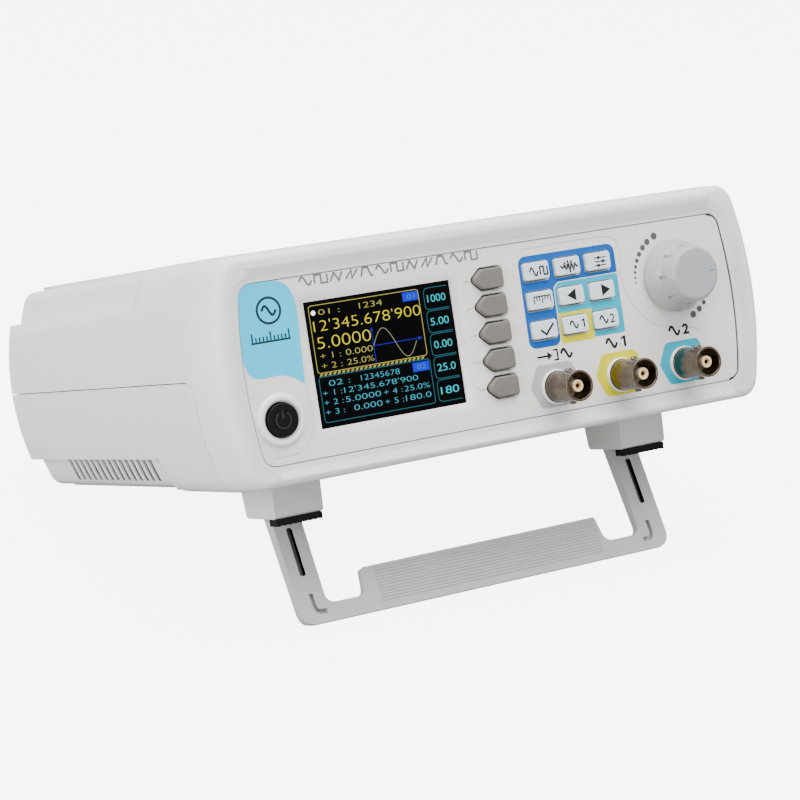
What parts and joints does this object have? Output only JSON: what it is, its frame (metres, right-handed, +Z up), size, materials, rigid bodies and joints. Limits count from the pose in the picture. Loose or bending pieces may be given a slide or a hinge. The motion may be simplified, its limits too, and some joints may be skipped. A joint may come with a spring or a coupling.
{
  "type": "function generator",
  "caption": "Bench function generator: flat plastic case on a folding tilt bail, sloped front panel with display, soft keys, keypad, knob and signal jacks",
  "frame": {"origin": "on the bench top, under the middle of the whole part's box", "axes": "+X to the right of the front panel, +Y from the front to the rear, +Z up; the case leans back 17.6 degrees on its opened bail"},
  "size_m": [0.2, 0.1872, 0.1178],
  "materials": {
    "case_abs": "fine moulded texture",
    "panel_abs": "fine moulded texture, printed",
    "dark_abs": "moulded",
    "soft_rubber": "moulded",
    "key_plastic": "satin",
    "black_plastic": "satin",
    "collar_plastic": "satin",
    "knob_plastic": "satin",
    "nickel": "plated",
    "contact_gold": "plated",
    "ptfe": "moulded",
    "pcb": "solder mask",
    "steel": "zinc plated",
    "aluminium": "anodised",
    "lcd": "polished",
    "foot_plastic": "moulded",
    "bail_plastic": "moulded",
    "black_rubber": "moulded",
    "relay_plastic": "moulded",
    "cap_sleeve": "shrink sleeve",
    "flat_cable": "ribbed"
  },
  "bodies": {
    "case": {"front_panel": "panel_abs", "top_cover": "case_abs", "bottom_cover": "case_abs", "rear_panel": "dark_abs", "display_glass": "lcd", "display_module": "steel", "front_board": "pcb", "main_board": "pcb", "power_collar": "collar_plastic", "power_switch": "dark_abs", "soft_switches": "dark_abs", "pad_switches": "dark_abs", "encoder_body": "steel", "encoder_nut": "nickel", "input_jack": "nickel", "output_jack_1": "nickel", "output_jack_2": "nickel", "jack_collars": "collar_plastic", "jack_insulators": "ptfe", "jack_contacts": "contact_gold", "jack_housings": "dark_abs", "front_foot_left": "foot_plastic", "front_foot_right": "foot_plastic", "foot_pads": "black_rubber", "rear_feet": "black_rubber", "usb_port": "steel", "dc_jack": "black_plastic", "signal_port": "steel", "ribbon_cable": "flat_cable", "ribbon_headers": "dark_abs", "shield_can": "steel", "heatsink": "aluminium", "relays": "relay_plastic", "capacitors": "cap_sleeve", "logic_chips": "dark_abs", "case_screws": "steel", "board_screws": "steel", "panel_screws": "steel", "foot_screws": "steel"},
    "bail": {"tilt_bail": "bail_plastic"},
    "power_button": {"power_button": "black_plastic"},
    "knob": {"adjust_knob": "knob_plastic", "encoder_shaft": "steel"},
    "soft_key_1": {"soft_key_1": "soft_rubber"},
    "soft_key_2": {"soft_key_2": "soft_rubber"},
    "soft_key_3": {"soft_key_3": "soft_rubber"},
    "soft_key_4": {"soft_key_4": "soft_rubber"},
    "soft_key_5": {"soft_key_5": "soft_rubber"},
    "pad_key_1": {"pad_key_1": "key_plastic"},
    "pad_key_2": {"pad_key_2": "key_plastic"},
    "pad_key_3": {"pad_key_3": "key_plastic"},
    "pad_key_4": {"pad_key_4": "key_plastic"},
    "pad_key_5": {"pad_key_5": "key_plastic"},
    "pad_key_6": {"pad_key_6": "key_plastic"},
    "pad_key_7": {"pad_key_7": "key_plastic"},
    "pad_key_8": {"pad_key_8": "key_plastic"},
    "pad_key_9": {"pad_key_9": "key_plastic"}
  },
  "joints": [
    {"name": "bail_hinge", "type": "hinge", "parent": "case", "child": "bail", "pos_m": [0, -0.0435, 0.03286], "axis": [1, 0, 0], "range_deg": [0, 110]},
    {"name": "knob_turn", "type": "hinge", "parent": "case", "child": "knob", "pos_m": [0.0653, -0.07082, 0.09284], "axis": [0, -0.953, 0.3028], "continuous": true},
    {"name": "power_press", "type": "slide", "parent": "case", "child": "power_button", "axis": [0, 0.953, -0.3028], "range_m": [0, 0.0015], "stiffness_N_per_m": 1500},
    {"name": "soft_key_1_press", "type": "slide", "parent": "case", "child": "soft_key_1", "axis": [0, 0.953, -0.3028], "range_m": [0, 0.0008], "stiffness_N_per_m": 1500},
    {"name": "soft_key_2_press", "type": "slide", "parent": "case", "child": "soft_key_2", "axis": [0, 0.953, -0.3028], "range_m": [0, 0.0008], "stiffness_N_per_m": 1500},
    {"name": "soft_key_3_press", "type": "slide", "parent": "case", "child": "soft_key_3", "axis": [0, 0.953, -0.3028], "range_m": [0, 0.0008], "stiffness_N_per_m": 1500},
    {"name": "soft_key_4_press", "type": "slide", "parent": "case", "child": "soft_key_4", "axis": [0, 0.953, -0.3028], "range_m": [0, 0.0008], "stiffness_N_per_m": 1500},
    {"name": "soft_key_5_press", "type": "slide", "parent": "case", "child": "soft_key_5", "axis": [0, 0.953, -0.3028], "range_m": [0, 0.0008], "stiffness_N_per_m": 1500},
    {"name": "pad_key_1_press", "type": "slide", "parent": "case", "child": "pad_key_1", "axis": [0, 0.953, -0.3028], "range_m": [0, 0.0008], "stiffness_N_per_m": 1500},
    {"name": "pad_key_2_press", "type": "slide", "parent": "case", "child": "pad_key_2", "axis": [0, 0.953, -0.3028], "range_m": [0, 0.0008], "stiffness_N_per_m": 1500},
    {"name": "pad_key_3_press", "type": "slide", "parent": "case", "child": "pad_key_3", "axis": [0, 0.953, -0.3028], "range_m": [0, 0.0008], "stiffness_N_per_m": 1500},
    {"name": "pad_key_4_press", "type": "slide", "parent": "case", "child": "pad_key_4", "axis": [0, 0.953, -0.3028], "range_m": [0, 0.0008], "stiffness_N_per_m": 1500},
    {"name": "pad_key_5_press", "type": "slide", "parent": "case", "child": "pad_key_5", "axis": [0, 0.953, -0.3028], "range_m": [0, 0.0008], "stiffness_N_per_m": 1500},
    {"name": "pad_key_6_press", "type": "slide", "parent": "case", "child": "pad_key_6", "axis": [0, 0.953, -0.3028], "range_m": [0, 0.0008], "stiffness_N_per_m": 1500},
    {"name": "pad_key_7_press", "type": "slide", "parent": "case", "child": "pad_key_7", "axis": [0, 0.953, -0.3028], "range_m": [0, 0.0008], "stiffness_N_per_m": 1500},
    {"name": "pad_key_8_press", "type": "slide", "parent": "case", "child": "pad_key_8", "axis": [0, 0.953, -0.3028], "range_m": [0, 0.0008], "stiffness_N_per_m": 1500},
    {"name": "pad_key_9_press", "type": "slide", "parent": "case", "child": "pad_key_9", "axis": [0, 0.953, -0.3028], "range_m": [0, 0.0008], "stiffness_N_per_m": 1500}
  ]
}
